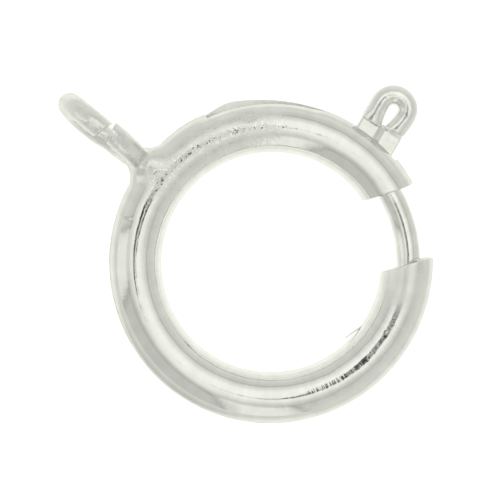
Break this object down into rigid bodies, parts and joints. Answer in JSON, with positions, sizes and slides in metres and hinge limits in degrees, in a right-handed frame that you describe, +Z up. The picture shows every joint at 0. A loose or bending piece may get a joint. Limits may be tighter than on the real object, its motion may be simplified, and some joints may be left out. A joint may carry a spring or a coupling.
{
  "type": "spring ring clasp",
  "caption": "Round jewellery clasp of bent tube with a sprung sliding tongue, a wire thumb trigger in a slot and a soldered attaching ring.",
  "frame": {"origin": "centre of the main ring, on the tube's middle plane", "axes": "+Z up from the surface the clasp lies on; +X and +Y along it, +Y towards the trigger's side. The main ring's own axis leans a little from +Z, because the attaching ring props one side up."},
  "size_m": [0.0185, 0.0167, 0.0053],
  "materials": {
    "silver": "polished silver",
    "spring_steel": "bright drawn wire"
  },
  "bodies": {
    "case": {"ring_body": "silver", "spring": "spring_steel"},
    "slider": {"tongue": "silver", "trigger": "silver"}
  },
  "joints": [
    {"name": "tongue_slide", "type": "hinge", "parent": "case", "child": "slider", "pos_m": [0, 0, 0], "axis": [0.0633, -0.0498, 0.9968], "range_deg": [0, 54], "stiffness_Nm_per_rad": 0.002, "springref_deg": -17.19, "deforming": ["spring"]}
  ]
}
